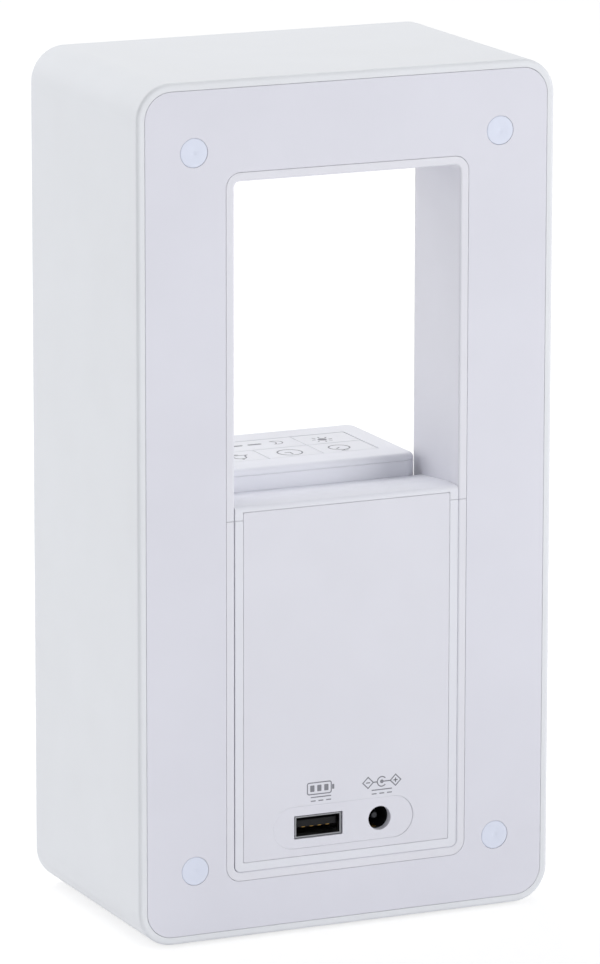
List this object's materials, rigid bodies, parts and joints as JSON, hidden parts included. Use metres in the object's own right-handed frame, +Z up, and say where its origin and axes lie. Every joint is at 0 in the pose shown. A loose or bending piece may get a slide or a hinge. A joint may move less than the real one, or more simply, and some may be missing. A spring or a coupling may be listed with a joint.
{
  "type": "wake-up light",
  "caption": "Upright box lamp with a window, an opal light funnel round it, and a clock and speaker module with press keys in the lower half of the opening.",
  "frame": {"origin": "on the table surface, under the middle of the body's width and depth", "axes": "+Z up, +X to the right seen from the front, +Y to the back, where the sockets are"},
  "size_m": [0.117, 0.071, 0.2258],
  "materials": {
    "shell_white": "fine satin moulding",
    "cover_white": "fine satin moulding",
    "plug_white": "smooth soft plastic",
    "liner_white": "satin moulding",
    "module_white": "fine satin moulding",
    "panel_white": "fine satin moulding",
    "key_white": "fine satin moulding",
    "grille_white": "satin moulding",
    "reflector_white": "matt white",
    "opal_plastic": "opal diffuser, softly glossy",
    "plunger_white": "plain",
    "lens_dark": "smoked glossy lens",
    "foot_rubber": "matt rubber",
    "surround_rubber": "matt rubber",
    "board_white": "white solder mask",
    "board_green": "green solder mask",
    "led_yellow": "phosphor",
    "part_black": "plain",
    "socket_black": "plain",
    "connector_cream": "plain",
    "ribbon_grey": "plain",
    "lead_red": "plain",
    "spider_cloth": "resin-stiffened cloth",
    "cone_paper": "pressed paper",
    "screw_steel": "zinc plated",
    "socket_steel": "nickel plated",
    "battery_steel": "bright",
    "basket_steel": "zinc plated",
    "ferrite": "sintered",
    "pin_nickel": "dull nickel plating",
    "contact_brass": "gold plated",
    "coil_brass": "enamelled winding"
  },
  "bodies": {
    "lamp": {"outer_shell": "shell_white", "base_feet": "foot_rubber", "rear_cover": "cover_white", "screw_plugs": "plug_white", "body_screws": "screw_steel", "window_liner": "liner_white", "lower_liner": "liner_white", "reflector_tray": "reflector_white", "light_board": "board_white", "leds": "led_yellow", "front_diffuser": "opal_plastic", "module_rear_housing": "module_white", "module_sill": "module_white", "rear_panel": "panel_white", "side_screws": "screw_steel", "module_front_housing": "module_white", "joint_screws": "screw_steel", "main_board": "board_green", "board_screws": "screw_steel", "board_parts": "part_black", "battery_holder": "part_black", "backup_battery": "battery_steel", "usb_shell": "socket_steel", "usb_tongue": "socket_black", "usb_contacts": "contact_brass", "dc_jack_body": "socket_black", "dc_jack_pin": "pin_nickel", "dc_jack_spring": "contact_brass", "top_cap": "module_white", "key_board": "board_green", "key_switches": "part_black", "display_lens": "lens_dark", "display_module": "part_black", "display_board": "board_green", "speaker_grille": "grille_white", "speaker_gasket": "foot_rubber", "speaker_surround": "surround_rubber", "speaker_basket": "basket_steel", "speaker_top_plate": "basket_steel", "speaker_magnet": "ferrite", "speaker_yoke": "basket_steel", "speaker_spider": "spider_cloth", "speaker_screws": "screw_steel", "ribbons": "ribbon_grey", "connectors": "connector_cream", "speaker_leads": "lead_red"},
    "timer_key": {"timer_key": "key_white", "timer_plunger": "plunger_white"},
    "clock_key": {"clock_key": "key_white", "clock_plunger": "plunger_white"},
    "alarm_key": {"alarm_key": "key_white", "alarm_plunger": "plunger_white"},
    "light_key": {"light_key": "key_white", "light_plunger": "plunger_white"},
    "snooze_key": {"snooze_key": "key_white", "snooze_plunger": "plunger_white"},
    "speaker_cone": {"speaker_cone": "cone_paper", "dust_cap": "cone_paper", "voice_coil": "coil_brass"}
  },
  "joints": [
    {"name": "timer_press", "type": "slide", "parent": "lamp", "child": "timer_key", "axis": [0, 0, -1], "range_m": [0, 0.0005], "stiffness_N_per_m": 800, "springref_m": -0.001},
    {"name": "clock_press", "type": "slide", "parent": "lamp", "child": "clock_key", "axis": [0, 0, -1], "range_m": [0, 0.0005], "stiffness_N_per_m": 800, "springref_m": -0.001},
    {"name": "alarm_press", "type": "slide", "parent": "lamp", "child": "alarm_key", "axis": [0, 0, -1], "range_m": [0, 0.0005], "stiffness_N_per_m": 800, "springref_m": -0.001},
    {"name": "light_press", "type": "slide", "parent": "lamp", "child": "light_key", "axis": [0, 0, -1], "range_m": [0, 0.0005], "stiffness_N_per_m": 800, "springref_m": -0.001},
    {"name": "snooze_press", "type": "slide", "parent": "lamp", "child": "snooze_key", "axis": [0, 0, -1], "range_m": [0, 0.0005], "stiffness_N_per_m": 800, "springref_m": -0.001},
    {"name": "cone_stroke", "type": "slide", "parent": "lamp", "child": "speaker_cone", "axis": [0, -1, 0], "range_m": [-0.0008, 0.0008], "stiffness_N_per_m": 1000, "deforming": ["speaker_surround", "speaker_spider"]}
  ]
}
